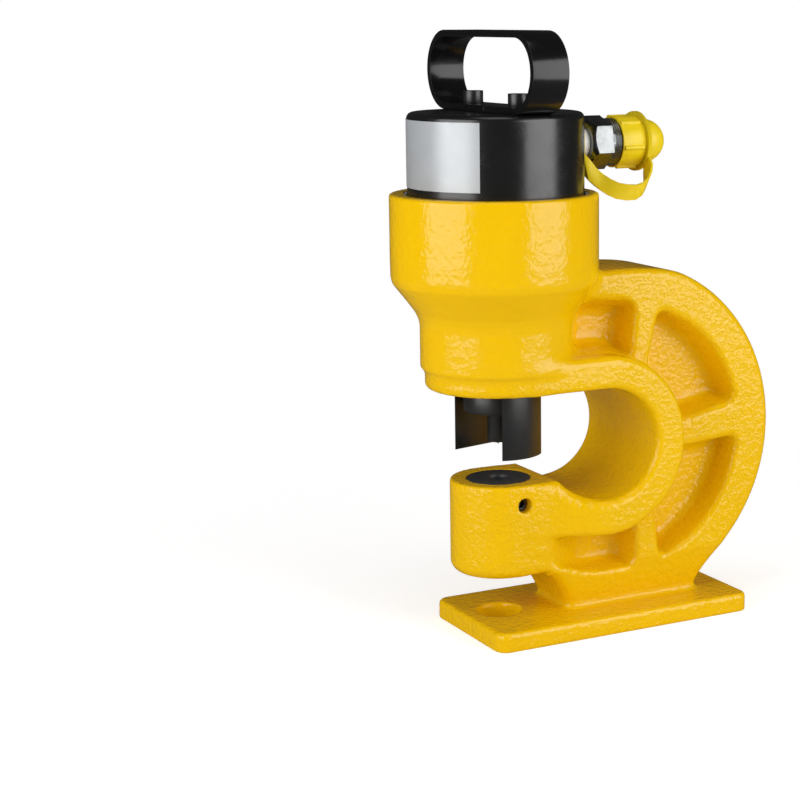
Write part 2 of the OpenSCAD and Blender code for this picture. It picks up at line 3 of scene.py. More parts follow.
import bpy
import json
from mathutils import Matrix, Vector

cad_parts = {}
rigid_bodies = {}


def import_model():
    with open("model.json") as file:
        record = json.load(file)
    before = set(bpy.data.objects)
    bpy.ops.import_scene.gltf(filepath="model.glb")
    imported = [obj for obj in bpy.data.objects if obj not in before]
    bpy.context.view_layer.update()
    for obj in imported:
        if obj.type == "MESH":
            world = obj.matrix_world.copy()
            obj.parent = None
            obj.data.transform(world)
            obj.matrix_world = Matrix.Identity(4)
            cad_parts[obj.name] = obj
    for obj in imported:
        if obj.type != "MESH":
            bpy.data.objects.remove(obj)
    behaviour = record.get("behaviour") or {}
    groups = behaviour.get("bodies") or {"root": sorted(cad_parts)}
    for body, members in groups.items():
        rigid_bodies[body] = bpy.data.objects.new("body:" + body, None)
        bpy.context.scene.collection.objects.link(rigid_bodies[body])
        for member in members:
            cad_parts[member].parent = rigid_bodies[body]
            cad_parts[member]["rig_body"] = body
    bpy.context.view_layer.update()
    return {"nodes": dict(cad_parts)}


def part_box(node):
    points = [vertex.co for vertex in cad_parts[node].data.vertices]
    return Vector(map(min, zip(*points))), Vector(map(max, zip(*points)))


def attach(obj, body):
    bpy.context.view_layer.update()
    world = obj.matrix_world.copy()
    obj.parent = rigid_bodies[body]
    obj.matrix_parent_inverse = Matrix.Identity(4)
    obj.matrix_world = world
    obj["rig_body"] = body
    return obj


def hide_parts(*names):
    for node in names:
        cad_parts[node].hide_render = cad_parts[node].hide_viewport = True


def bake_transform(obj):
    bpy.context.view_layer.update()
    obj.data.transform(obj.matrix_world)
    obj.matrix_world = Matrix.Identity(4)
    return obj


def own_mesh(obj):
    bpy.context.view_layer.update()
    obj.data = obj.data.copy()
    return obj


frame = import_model()

import json
import math

import bmesh
import bpy
import numpy as np
from mathutils import Matrix, Vector

bl_info = {
    "name": "Hydraulic Hole Punch",
    "version": (1, 0, 0),
    "blender": (4, 5, 0),
    "location": "View3D > Sidebar > Hole Punch",
    "description": "Builds a portable hydraulic hole punch around its packed CAD frame",
    "category": "Object",
}

MM = 0.001
PHOTO_PIXELS = 800


# sizes and colours


def length(name, description, default_mm):
    return bpy.props.FloatProperty(
        name=name, description=description, default=default_mm * MM, min=0.0, precision=4, unit="LENGTH"
    )


def colour(name, description, default):
    return bpy.props.FloatVectorProperty(
        name=name, description=description, default=default, size=3, min=0.0, max=1.0, subtype="COLOR"
    )


class PunchSizes(bpy.types.PropertyGroup):
    """Sizes of the casting and its fittings"""

    voxel: length("Skin step", "Grid step of the casting's skin", 1.3)
    throat_radius: length("Throat radius", "Radius of the throat's round end", 37.4)
    throat_height: length("Throat height", "Height of the throat's centre", 127.2)
    band_width: length("Band width", "Width of the raised band round the throat", 22.6)
    band_half: length("Band half width", "Half width of the frame over the band", 47.7)
    rim_radius: length("Rim radius", "Outer radius of the C-frame", 116.0)
    rim_half: length("Rim half width", "Half width of the frame over the rim", 32.0)
    web_half: length("Web half width", "Half thickness of the web", 11.0)
    rim_edge: length("Rim edge radius", "Rounding of the cast rim's edges", 6.0)
    anvil_radius: length("Anvil radius", "Radius of the anvil boss", 31.5)
    anvil_height: length("Anvil height", "Height of the anvil's flat top", 103.6)
    anvil_bottom: length("Anvil bottom", "Height of the anvil's rounded underside", 42.0)
    cup_radius: length("Cup radius", "Outer radius of the cup", 67.6)
    cup_height: length("Cup height", "Height of the cup's top ring", 292.4)
    cylinder_radius: length("Cylinder radius", "Radius of the black cylinder", 57.0)


class PunchColours(bpy.types.PropertyGroup):
    """Colours of the finishes, as linear values"""

    paint: colour("Paint", "Gloss paint of the casting", (0.90, 0.53, 0.001))
    cylinder: colour("Cylinder", "Black of the cylinder", (0.008, 0.008, 0.008))
    handle: colour("Handle", "Black of the carry handle", (0.006, 0.006, 0.0065))
    oxide: colour("Black oxide", "Blackened steel of the tooling", (0.013, 0.013, 0.013))
    die: colour("Die", "Ground and blackened steel of the die", (0.038, 0.041, 0.046))
    # Pale grey of the cup's bare top ring, with a painted reflection of the white surroundings laid into it
    machined_and_sheen: colour("Machined", "Bare machined top of the cup", (0.62, 0.58, 0.53))
    zinc: colour("Zinc", "Bright zinc of the coupler", (0.27, 0.28, 0.28))
    cap: colour("Cap", "Moulded plastic of the cap and strap", (0.93, 0.69, 0.006))
    label: colour("Label", "Foil of the blank label", (0.50, 0.52, 0.54))
    floor: colour("Floor", "Pale floor", (0.86, 0.86, 0.86))


def sizes():
    return bpy.context.scene.punch_sizes


def colours():
    return bpy.context.scene.punch_colours


# distance fields of the casting, in millimetres


def circle_field(x, z, cx, cz, radius):
    return np.hypot(x - cx, z - cz) - radius


def line_field(x, z, start, end):
    """Distance to the line through two points, positive on the left of its direction"""
    dx, dz = end[0] - start[0], end[1] - start[1]
    run = math.hypot(dx, dz)
    return ((z - start[1]) * dx - (x - start[0]) * dz) / run


def polygon_field(x, z, corners):
    """Signed distance to a closed polygon, negative inside"""
    nearest = np.full(np.broadcast(x, z).shape, 1e9)
    inside = np.zeros(nearest.shape, bool)
    for (ax, az), (bx, bz) in zip(corners, corners[1:] + corners[:1]):
        ex, ez = bx - ax, bz - az
        share = np.clip(((x - ax) * ex + (z - az) * ez) / (ex * ex + ez * ez), 0, 1)
        nearest = np.minimum(nearest, np.hypot(x - ax - share * ex, z - az - share * ez))
        spans = (az > z) != (bz > z)
        with np.errstate(divide="ignore", invalid="ignore"):
            inside ^= spans & (x < ax + (z - az) * ex / (ez if ez else 1e-9))
    return np.where(inside, -nearest, nearest)


def slab(outline, offset, half, edge):
    """An outline drawn through a thickness of 2 x half, with rounded edges"""
    a = outline + edge
    b = np.abs(offset) - half + edge
    return np.minimum(np.maximum(a, b), 0) + np.hypot(np.maximum(a, 0), np.maximum(b, 0)) - edge


def join(a, b, fillet):
    """Union with a concave fillet"""
    bend = np.hypot(np.maximum(fillet - a, 0), np.maximum(fillet - b, 0))
    return np.maximum(np.minimum(a, b), fillet) - bend


def overlap(a, b, edge):
    """Common part with a rounded edge"""
    return np.minimum(np.maximum(a, b), -edge) + np.hypot(np.maximum(edge + a, 0), np.maximum(edge + b, 0))


def carve(a, b, edge):
    """a without b, with a rounded edge"""
    return overlap(a, -b, edge)


def turned(x, y, z, outline):
    """Distance to a turned body whose half section is a polygon of (radius, height)

    The cup, its upper part, sits a little forward of the axis.
    """
    reach = np.arange(0.0, 170.0, 0.5)
    table = polygon_field(reach[:, None], z.ravel()[None, :], outline)
    field = np.empty(np.broadcast(x, y, z).shape, np.float32)
    for k, height in enumerate(z.ravel()):
        forward = CUP_FORWARD * min(max((height - CUP_SHIFT_FROM) / CUP_SHIFT_OVER, 0.0), 1.0)
        radius = np.hypot(x[:, :, 0] + forward, y[:, :, 0])
        field[:, :, k] = np.interp(radius, reach, table[:, k])
    return field


def bore(x, y, z, radius, low, high, cx=0.0, cy=0.0):
    return np.maximum(np.hypot(x - cx, y - cy) - radius, np.maximum(low - z, z - high))


def along(places, rows):
    """Values read between the rows of (place, value)"""
    return np.interp(places, [place for place, value in rows], [value for place, value in rows])


# Half widths over X, and outlines as (X, Z) or (radius, height)
ARM_HALF = [
    (0, 31.5), (12, 31.5), (20, 32.6), (28, 35.4), (36, 39.2), (44, 42.8), (52, 45.6), (60, 47.2), (68, 47.7),
]
FOOT_SIDE = [
    (41, 6), (40.4, 14), (39.5, 17), (36, 25), (30, 34), (21, 44), (21, 60), (160, 60), (165.2, 50),
    (157, 40.5), (152, 34.5), (148, 29), (144.5, 23.5), (142, 18), (141.5, 14), (141.5, 6),
]
UNDER_ARM = [
    (14, 48), (26, 45.5), (36.4, 42.8), (48, 38.6), (62, 36.3), (85.7, 36.8), (88.6, 44), (86.8, 65.4),
    (85, 90), (14, 90),
]
CUP_SIDE = [
    (0, 158), (47.4, 158), (47.4, 174), (48.1, 176.4), (50.3, 179), (50.3, 206), (51.2, 210.5), (53.2, 215.5),
    (57.6, 222), (62.6, 229), (66.4, 234), (67.4, 238), (67.6, 249), (67.6, 292.4), (0, 292.4),
]
RIM_LIMIT = [(0, 58), (22, 50), (22, 39), (400, 39), (400, 400), (0, 400)]
UNDER_ARM_FLOOR = [(17, 35), (50, 14.5), (64, 11.2), (70, 11)]
RIM_CENTRE = (79.0, 127.5)
RIM_FRONT = 7.0
RIM_BOTTOM = 39.0
RIM_TOP = 241.2
FOOT_HALF = 22.5
FOOT_TOP = 44.0
POCKET_CENTRE = (79.0, 126.0)
POCKET_RADIUS = 90.0
FRONT_POCKET_FROM = (28.0, 130.0)
WALL_LEAN = 5.5 / 21.0
TOP_WALL_LEAN = 4.0 / 21.0
BAND_CENTRE = (57.0, 126.0)
THROAT_X = 57.6
CUP_FORWARD = 1.4
CUP_SHIFT_FROM = 210.0
CUP_SHIFT_OVER = 20.0
CUP_FLOOR = 236.0
PLATE_MIDDLE = 70.6
PLATE_HALF = (96.3, 48.2)
PLATE_CORNER = 8.0
PLATE_FORWARD = 2.9
PLATE_TOP = 12.7

# Extra rounding of the throat's edge over X, and its share over Z
THROAT_SOFT = [(0, -2), (14, 0), (26, 5), (45, 5), (60, 1)]
THROAT_SOFT_SHARE = [(112, 1), (135, 0)]

# Bores upright through the casting, as (radius, bottom, top)
SLUG_HOLE = (15.0, -5.0, 20.0)
SLUG_PATH = (10.0, 30.0, 86.0)
DIE_SEAT = (21.05, 85.6, 130.0)
STRIPPER_THREAD = (29.05, 150.0, 187.0)
BUSH_SEAT = (33.05, 186.0, 213.0)
SPRING_ROOM = (36.0, 212.0, 237.0)
LOCK_HOLE = (3.05, 281.4, 400.0)
LOCK_TURN = math.radians(-30)
MOUTH_CHAMFER = 2.6
RUNNING_FIT = 0.05

# Tapped hole of the die's lock screw, from the near side of the anvil
DIE_SCREW_RADIUS = 4.95
DIE_SCREW_REACH = 45.0
DIE_SCREW_TURN = math.radians(6)
DIE_SCREW_DOWN = 13.2


def pocket_fields(x, y, z, rim_half, web_half, band):
    """The side pockets, cut from both sides, with leaning walls and round floors"""
    depth = rim_half - np.abs(y)
    lean = WALL_LEAN * depth
    outer = circle_field(x, z, *POCKET_CENTRE, POCKET_RADIUS)
    beyond_band = -band
    corner, small_corner, floor_edge = 7.0, 4.0, 5.0
    floor = web_half - np.abs(y)

    rib_1_right = line_field(x, z, (96.7, 177.6), (103, 205))
    rib_2_top = -line_field(x, z, (126.2, 135.3), (166.7, 143.4))
    upper = overlap(overlap(outer, beyond_band, corner), overlap(rib_1_right, rib_2_top, corner), corner)

    rib_2_low = line_field(x, z, (127, 116.7), (160.8, 119.7))
    rib_3_right = 102.0 + (70.0 - z) * 0.16 - x
    lower = overlap(overlap(outer, beyond_band, corner), overlap(rib_2_low, rib_3_right, corner), corner)

    rib_1_left = -line_field(x, z, (84.3, 184.2), (87.5, 213.4))
    top = line_field(x, z, (41.9, 223.5), (80.7, 220.7)) + TOP_WALL_LEAN * depth
    cut_corner = line_field(x, z, (80.7, 221.7), (88.0, 213.4))
    front = overlap(rib_1_left, top, small_corner)
    front = overlap(front, overlap(beyond_band, cut_corner, small_corner), small_corner)
    from_x, from_z = FRONT_POCKET_FROM
    front = np.maximum(front, np.maximum(from_x - x, from_z - z))

    climbing = along(x, UNDER_ARM_FLOOR) - np.abs(y)
    under = overlap(polygon_field(x, z, UNDER_ARM), beyond_band, small_corner)

    cuts = overlap(np.minimum(upper, lower) + lean, floor, floor_edge)
    cuts = np.minimum(cuts, overlap(front + lean, floor, floor_edge))
    return np.minimum(cuts, overlap(under + lean, climbing, small_corner))


def casting_field(x, y, z):
    s = sizes()
    k = 1.0 / MM
    throat_r, throat_z = s.throat_radius * k, s.throat_height * k
    band_r, band_half = throat_r + s.band_width * k, s.band_half * k
    rim_r, rim_half, web_half = s.rim_radius * k, s.rim_half * k, s.web_half * k
    anvil_r, anvil_z = s.anvil_radius * k, s.anvil_height * k
    throat_top = throat_z + throat_r

    # Rim, web and foot
    rim = np.maximum(circle_field(x, z, *RIM_CENTRE, rim_r), np.maximum(RIM_BOTTOM - z, RIM_FRONT - x))
    rim = overlap(rim, z - RIM_TOP, 8.0)
    rim = np.maximum(rim, polygon_field(x, z, RIM_LIMIT))
    side = np.minimum(rim, polygon_field(x, z, FOOT_SIDE))
    half = along(z, [(PLATE_TOP, FOOT_HALF), (FOOT_TOP, rim_half)])
    body = slab(side, y, half, s.rim_edge * k)

    # Anvil boss, side pockets, and the raised band round the throat with the arm that widens towards it
    band_x, band_z = BAND_CENTRE
    low, high = band_z - band_r, band_z + band_r
    band = np.minimum(
        circle_field(x, z, band_x, band_z, band_r),
        polygon_field(x, z, [(0, low), (band_x, low), (band_x, high), (0, high)]),
    )
    anvil_low = s.anvil_bottom * k
    boss = overlap(np.hypot(x, y) - anvil_r, anvil_low - z, 7.0)
    boss = np.maximum(boss, z - anvil_z - 6.0)
    flank = np.maximum(np.maximum(-x, x - 60.0), np.maximum(anvil_low - z, z - anvil_z + 8))
    flank = slab(flank, y, anvil_r, 6.0)
    body = join(body, np.minimum(boss, flank), 2.0)
    body = carve(body, pocket_fields(x, y, z, rim_half, web_half, band), 3.5)
    raised = slab(band, y, np.where(z < throat_z - 20, along(x, ARM_HALF), band_half), 5.0)
    body = join(body, raised, 3.5)
    body = join(body, boss, 2.0)

    # Barrel and cup
    cup_side = [(r, min(h, s.cup_height * k)) for r, h in CUP_SIDE]
    cup = turned(x, y, z, cup_side)
    cup = overlap(cup, z - s.cup_height * k, 3.0)
    body = join(body, cup, 5.0)

    # Throat, open to the front
    slot = np.maximum(x - THROAT_X, np.maximum(anvil_z - z, z - throat_top))
    edge = 4.0 + along(x, THROAT_SOFT) * along(z, THROAT_SOFT_SHARE)
    body = carve(body, np.minimum(circle_field(x, z, THROAT_X, throat_z, throat_r), slot) + 0 * y, edge)

    # Base plate, with its fillet to the foot and the slug hole
    qx = np.abs(x - PLATE_MIDDLE) - PLATE_HALF[0] + PLATE_CORNER
    qy = np.abs(y + PLATE_FORWARD) - PLATE_HALF[1] + PLATE_CORNER
    plan = np.hypot(np.maximum(qx, 0), np.maximum(qy, 0)) + np.minimum(np.maximum(qx, qy), 0) - PLATE_CORNER
    body = join(body, overlap(overlap(plan, z - PLATE_TOP, 2.6), -z, 1.0), 5.0)
    bore_edge = 0.9
    body = carve(body, bore(x, y, z, *SLUG_HOLE), bore_edge)

    # Machined bores
    seam_r = s.cylinder_radius * k
    mouth = seam_r + RUNNING_FIT + np.clip(z - s.cup_height * k + MOUTH_CHAMFER, 0, 4)
    body = carve(body, bore(x, y, z, mouth, CUP_FLOOR, 400.0), bore_edge)
    body = carve(body, bore(x, y, z, *STRIPPER_THREAD), bore_edge)
    body = np.maximum(body, -bore(x, y, z, *BUSH_SEAT))
    body = np.maximum(body, -bore(x, y, z, *SPRING_ROOM))
    body = carve(body, bore(x, y, z, *DIE_SEAT), 0.7)
    body = np.maximum(body, -bore(x, y, z, *SLUG_PATH))
    across = x * math.cos(DIE_SCREW_TURN) + y * math.sin(DIE_SCREW_TURN)
    tapped = np.hypot(across, z - (anvil_z - DIE_SCREW_DOWN)) - DIE_SCREW_RADIUS
    tapped = np.maximum(tapped, np.maximum(y, -DIE_SCREW_REACH - y))
    body = carve(body, tapped, bore_edge)
    for turn in (LOCK_TURN, LOCK_TURN + math.pi):
        cx, cy = seam_r * math.cos(turn), seam_r * math.sin(turn)
        body = np.maximum(body, -bore(x, y, z, *LOCK_HOLE, cx, cy))
    return body


def skin(field, origin, step):
    """Closed quad mesh on the zero level of a field on a grid"""
    inside = field < 0
    shape = tuple(n - 1 for n in field.shape)
    corners = [(i, j, k) for i in (0, 1) for j in (0, 1) for k in (0, 1)]
    count = np.zeros(shape, np.uint8)
    for i, j, k in corners:
        count += inside[i : i + shape[0], j : j + shape[1], k : k + shape[2]]
    cells = np.argwhere((count > 0) & (count < 8))
    index = np.full(shape, -1, np.int32)
    index[tuple(cells.T)] = np.arange(len(cells))
    place = np.zeros((len(cells), 3))
    hits = np.zeros(len(cells))
    for a in corners:
        for axis in range(3):
            if a[axis]:
                continue
            b = tuple(a[n] + (n == axis) for n in range(3))
            fa = field[tuple((cells + a).T)]
            fb = field[tuple((cells + b).T)]
            crossed = (fa < 0) != (fb < 0)
            share = fa[crossed] / (fa[crossed] - fb[crossed])
            place[crossed] += np.array(a)
            place[crossed, axis] += share
            hits[crossed] += 1
    points = (cells + place / hits[:, None]) * step + np.array(origin)
    quads = []
    for axis in range(3):
        low = [slice(1, -1)] * 3
        high = [slice(1, -1)] * 3
        low[axis], high[axis] = slice(0, -1), slice(1, None)
        here, there = inside[tuple(low)], inside[tuple(high)]
        for sense in (0, 1):
            edges = np.argwhere(here & ~there if sense else ~here & there)
            edges += [0 if n == axis else 1 for n in range(3)]
            u, v = [(1, 2), (2, 0), (0, 1)][axis]
            ring = []
            for du, dv in ((0, 0), (-1, 0), (-1, -1), (0, -1)):
                cell = edges.copy()
                cell[:, u] += du
                cell[:, v] += dv
                ring.append(index[tuple(cell.T)])
            ring = np.stack(ring, 1)
            quads.append(ring if sense else ring[:, ::-1])
    return points, np.concatenate(quads)


# mesh helpers


def piece_from(name, points, faces):
    """A smooth mesh object from points in millimetres"""
    mesh = bpy.data.meshes.new(name)
    mesh.from_pydata((np.asarray(points, float) * MM).tolist(), [], [list(f) for f in faces])
    mesh.validate()
    mesh.shade_smooth()
    obj = bpy.data.objects.new(name, mesh)
    bpy.context.scene.collection.objects.link(obj)
    return obj


def apply_modifiers(obj):
    graph = bpy.context.evaluated_depsgraph_get()
    mesh = bpy.data.meshes.new_from_object(obj.evaluated_get(graph))
    obj.modifiers.clear()
    obj.data = mesh


def tidy_mesh(obj, flat_angle=0.3):
    work = bmesh.new()
    work.from_mesh(obj.data)
    bmesh.ops.remove_doubles(work, verts=work.verts, dist=2e-6)
    bmesh.ops.dissolve_limit(
        work, angle_limit=math.radians(flat_angle), verts=work.verts, edges=work.edges, delimit=set()
    )
    bmesh.ops.recalc_face_normals(work, faces=work.faces)
    work.to_mesh(obj.data)
    work.free()


def edged(node, name, width, angle=32, segments=2, smooth_angle=35):
    """A copy of a CAD node with its sharp edges broken"""
    obj = bpy.data.objects.new(name, frame["nodes"][node].data.copy())
    obj.data.materials.clear()
    bpy.context.scene.collection.objects.link(obj)
    tidy_mesh(obj)
    bevel = obj.modifiers.new("edges", "BEVEL")
    bevel.width = width * MM
    bevel.segments = segments
    bevel.limit_method = "ANGLE"
    bevel.angle_limit = math.radians(angle)
    bevel.use_clamp_overlap = True
    apply_modifiers(obj)
    obj.data.shade_smooth()
    obj.data.set_sharp_from_angle(angle=math.radians(smooth_angle))
    return obj


def dress(obj, material, slot, *nodes):
    """Gives a piece its finish, its body and the CAD nodes it stands for"""
    obj.data.materials.clear()
    obj.data.materials.append(material)
    body = frame["nodes"][nodes[0]]["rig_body"]
    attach(obj, body)
    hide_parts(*nodes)
    return obj


def keep(node, material):
    """A CAD node that stays as it is gets a better finish"""
    data = frame["nodes"][node].data
    data.materials.clear()
    data.materials.append(material)


# finishes


def new_group(name, inputs, outputs):
    group = bpy.data.node_groups.new(name, "ShaderNodeTree")
    for label, kind, default in inputs:
        socket = group.interface.new_socket(label, in_out="INPUT", socket_type=kind)
        if default is not None:
            socket.default_value = default
    for label, kind in outputs:
        group.interface.new_socket(label, in_out="OUTPUT", socket_type=kind)
    return group, group.nodes.new("NodeGroupInput"), group.nodes.new("NodeGroupOutput")


def noise(nodes, links, vector, scale, detail=3.0, rough=0.5):
    node = nodes.new("ShaderNodeTexNoise")
    node.inputs["Detail"].default_value = detail
    node.inputs["Roughness"].default_value = rough
    if isinstance(scale, (int, float)):
        node.inputs["Scale"].default_value = scale
    else:
        links.new(scale, node.inputs["Scale"])
    links.new(vector, node.inputs["Vector"])
    return node.outputs["Fac"]


def spread(nodes, links, value, low_in, high_in, low_out, high_out):
    """Maps a value from one range to another, clamped"""
    node = nodes.new("ShaderNodeMapRange")
    links.new(value, node.inputs["Value"])
    for label, v in (("From Min", low_in), ("From Max", high_in), ("To Min", low_out), ("To Max", high_out)):
        if isinstance(v, (int, float)):
            node.inputs[label].default_value = v
        else:
            links.new(v, node.inputs[label])
    return node.outputs["Result"]


def reckon(nodes, links, operation, a, b=None):
    node = nodes.new("ShaderNodeMath")
    node.operation = operation
    for socket, v in zip(node.inputs, (a, b)):
        if v is None:
            continue
        if isinstance(v, (int, float)):
            socket.default_value = v
        else:
            links.new(v, socket)
    return node.outputs[0]


def blend_colour(nodes, links, share, a, b):
    node = nodes.new("ShaderNodeMix")
    node.data_type = "RGBA"
    for socket, v in ((node.inputs[0], share), (node.inputs[6], a), (node.inputs[7], b)):
        if isinstance(v, (int, float, tuple)):
            socket.default_value = v
        else:
            links.new(v, socket)
    return node.outputs[2]


def build_groups():
    """Effects that several finishes share"""
    groups = {}
    F, C, V = "NodeSocketFloat", "NodeSocketColor", "NodeSocketVector"

    # Uneven cast or sprayed surface: a coarse swell and a fine peel
    group, gin, gout = new_group(
        "Cast Surface",
        [("Vector", V, None), ("Swell Scale", F, 60.0), ("Peel Scale", F, 320.0), ("Peel Share", F, 0.3)],
        [("Height", F)],
    )
    n, l = group.nodes, group.links
    swell = noise(n, l, gin.outputs["Vector"], gin.outputs["Swell Scale"], 2.0, 0.45)
    peel = noise(n, l, gin.outputs["Vector"], gin.outputs["Peel Scale"], 2.0, 0.5)
    part = reckon(n, l, "MULTIPLY", peel, gin.outputs["Peel Share"])
    l.new(reckon(n, l, "ADD", swell, part), gout.inputs["Height"])
    groups["cast"] = group

    # Slow change of tone and gloss over a surface, with smudges
    group, gin, gout = new_group(
        "Worn Tone",
        [
            ("Vector", V, None), ("Scale", F, 14.0), ("Colour", C, (0.5, 0.5, 0.5, 1)), ("Tone", F, 0.08),
            ("Gloss Low", F, 0.2), ("Gloss High", F, 0.35),
        ],
        [("Colour", C), ("Roughness", F)],
    )
    n, l = group.nodes, group.links
    broad = noise(n, l, gin.outputs["Vector"], gin.outputs["Scale"], 4.0, 0.6)
    tone = reckon(n, l, "MULTIPLY", reckon(n, l, "SUBTRACT", broad, 0.5), gin.outputs["Tone"])
    shade_node = n.new("ShaderNodeHueSaturation")
    l.new(gin.outputs["Colour"], shade_node.inputs["Color"])
    l.new(reckon(n, l, "ADD", 1.0, reckon(n, l, "MULTIPLY", tone, 2.0)), shade_node.inputs["Value"])
    l.new(shade_node.outputs["Color"], gout.inputs["Colour"])
    finer = reckon(n, l, "MULTIPLY", gin.outputs["Scale"], 2.7)
    smudge = noise(n, l, gin.outputs["Vector"], finer, 5.0, 0.65)
    gloss = spread(n, l, smudge, 0.35, 0.7, gin.outputs["Gloss Low"], gin.outputs["Gloss High"])
    l.new(gloss, gout.inputs["Roughness"])
    groups["tone"] = group

    # Fine lathe lines round the Z or X axis
    group, gin, gout = new_group(
        "Lathe Lines",
        [("Vector", V, None), ("Stretch", V, (1.0, 1.0, 1.0)), ("Scale", F, 500.0)],
        [("Height", F)],
    )
    n, l = group.nodes, group.links
    squash = n.new("ShaderNodeVectorMath")
    squash.operation = "MULTIPLY"
    l.new(gin.outputs["Vector"], squash.inputs[0])
    l.new(gin.outputs["Stretch"], squash.inputs[1])
    l.new(noise(n, l, squash.outputs[0], gin.outputs["Scale"], 3.0, 0.6), gout.inputs["Height"])
    groups["lathe"] = group
    return groups


GROUPS = {}
FINISHES = {}


def place_group(nodes, links, key, vector, **values):
    node = nodes.new("ShaderNodeGroup")
    node.node_tree = GROUPS[key]
    links.new(vector, node.inputs["Vector"])
    for label, v in values.items():
        socket = node.inputs[label.replace("_", " ")]
        if isinstance(v, bpy.types.NodeSocket):
            links.new(v, socket)
        else:
            socket.default_value = v
    return node


def new_finish(name):
    material = bpy.data.materials.new(name)
    material.use_nodes = True
    nodes, links = material.node_tree.nodes, material.node_tree.links
    shader = nodes["Principled BSDF"]
    coords = nodes.new("ShaderNodeTexCoord").outputs["Object"]
    return material, nodes, links, shader, coords


def toned(nodes, links, shader, vector, base, scale, tone, low, high):
    """Base colour and roughness that change slowly over the surface"""
    node = place_group(
        nodes, links, "tone", vector,
        Scale=scale, Colour=rgba(base), Tone=tone, Gloss_Low=low, Gloss_High=high,
    )
    links.new(node.outputs["Colour"], shader.inputs["Base Color"])
    links.new(node.outputs["Roughness"], shader.inputs["Roughness"])
    return node.outputs["Colour"]


def bump(nodes, links, shader, height, distance_mm):
    node = nodes.new("ShaderNodeBump")
    node.inputs["Strength"].default_value = 1.0
    node.inputs["Distance"].default_value = distance_mm * MM
    links.new(height, node.inputs["Height"])
    links.new(node.outputs["Normal"], shader.inputs["Normal"])


def rgba(c):
    return (c[0], c[1], c[2], 1.0)


THREAD_PITCH = 0.0016
THREAD_START = 0.0805


def cast_paint():
    """Gloss paint over the casting: rough cast sides, smoother turned barrel and cup"""
    material, n, l, shader, at = new_finish("cast paint")
    sprayed = toned(n, l, shader, at, colours().paint, 16.0, 0.06, 0.09, 0.15)
    split = n.new("ShaderNodeSeparateXYZ")
    l.new(at, split.inputs[0])
    facing = n.new("ShaderNodeSeparateXYZ")
    l.new(n.new("ShaderNodeNewGeometry").outputs["Normal"], facing.inputs[0])
    level = spread(n, l, facing.outputs["Z"], 0.8, 0.95, 0.0, 1.0)
    # Pale grey on the cup's flat, upward-facing top ring: its bare metal, plus a painted reflection of the
    # white surroundings
    cup_top = sizes().cup_height
    top = spread(n, l, split.outputs["Z"], cup_top - 0.8 * MM, cup_top - 0.4 * MM, 0.0, 1.0)
    bare_and_sheen_share = reckon(n, l, "MULTIPLY", level, top)
    machined_and_sheen = blend_colour(n, l, bare_and_sheen_share, sprayed, rgba(colours().machined_and_sheen))
    l.new(machined_and_sheen, shader.inputs["Base Color"])
    shader.inputs["Specular IOR Level"].default_value = 0.42
    shader.inputs["Specular Tint"].default_value = (0.7, 0.9, 1.0, 1.0)
    rough = place_group(n, l, "cast", at, Swell_Scale=270.0, Peel_Scale=560.0, Peel_Share=0.35)
    fine = place_group(n, l, "cast", at, Swell_Scale=190.0, Peel_Scale=420.0, Peel_Share=0.5)
    turned_part = spread(n, l, split.outputs["X"], 0.052, 0.07, 1.0, 0.0)
    high_part = spread(n, l, split.outputs["Z"], 0.17, 0.18, 0.0, 1.0)
    smooth_share = reckon(n, l, "MULTIPLY", turned_part, high_part)
    coarse_share = spread(n, l, smooth_share, 0.0, 1.0, 0.62, 0.0)
    coarse = reckon(n, l, "MULTIPLY", rough.outputs["Height"], coarse_share)
    even_share = spread(n, l, smooth_share, 0.0, 1.0, 0.0, 0.28)
    even = reckon(n, l, "MULTIPLY", fine.outputs["Height"], even_share)
    bump(n, l, shader, reckon(n, l, "ADD", coarse, even), 1.5)
    return material


def black_gloss(name, base, low, high, swell, depth_mm, specular):
    material, n, l, shader, at = new_finish(name)
    toned(n, l, shader, at, base, 22.0, 0.2, low, high)
    shader.inputs["Specular IOR Level"].default_value = specular
    surface = place_group(n, l, "cast", at, Swell_Scale=swell, Peel_Scale=swell * 3.5, Peel_Share=0.3)
    bump(n, l, shader, surface.outputs["Height"], depth_mm)
    return material


def turned_metal(name, base, low, high, stretch, metallic=1.0, thread_from=None, depth_mm=0.05):
    material, n, l, shader, at = new_finish(name)
    toned(n, l, shader, at, base, 40.0, 0.35, low, high)
    shader.inputs["Metallic"].default_value = metallic
    lines = place_group(n, l, "lathe", at, Stretch=stretch, Scale=900.0)
    height = lines.outputs["Height"]
    if thread_from:
        split = n.new("ShaderNodeSeparateXYZ")
        l.new(at, split.inputs[0])
        wave = reckon(n, l, "SINE", reckon(n, l, "MULTIPLY", split.outputs["X"], 2 * math.pi / THREAD_PITCH))
        begins = spread(n, l, split.outputs["X"], thread_from, thread_from + 0.3 * MM, 0.0, 4.0)
        height = reckon(n, l, "ADD", height, reckon(n, l, "MULTIPLY", wave, begins))
    bump(n, l, shader, height, depth_mm)
    return material


def moulded(name, base, low=0.32, high=0.45, swell=160.0, depth_mm=0.12):
    material, n, l, shader, at = new_finish(name)
    toned(n, l, shader, at, base, 30.0, 0.10, low, high)
    shader.inputs["Subsurface Weight"].default_value = 0.08
    shader.inputs["Subsurface Radius"].default_value = (0.004, 0.003, 0.001)
    surface = place_group(n, l, "cast", at, Swell_Scale=swell, Peel_Scale=swell * 4, Peel_Share=0.25)
    bump(n, l, shader, surface.outputs["Height"], depth_mm)
    return material


def label_foil():
    material, n, l, shader, at = new_finish("label foil")
    toned(n, l, shader, at, colours().label, 18.0, 0.12, 0.3, 0.42)
    shader.inputs["Metallic"].default_value = 0.25
    lines = place_group(n, l, "lathe", at, Stretch=(0.06, 0.06, 1.0), Scale=1500.0)
    bump(n, l, shader, lines.outputs["Height"], 0.02)
    return material


ROUND_Z = (0.08, 0.08, 1.0)
ROUND_X = (1.0, 0.08, 0.08)


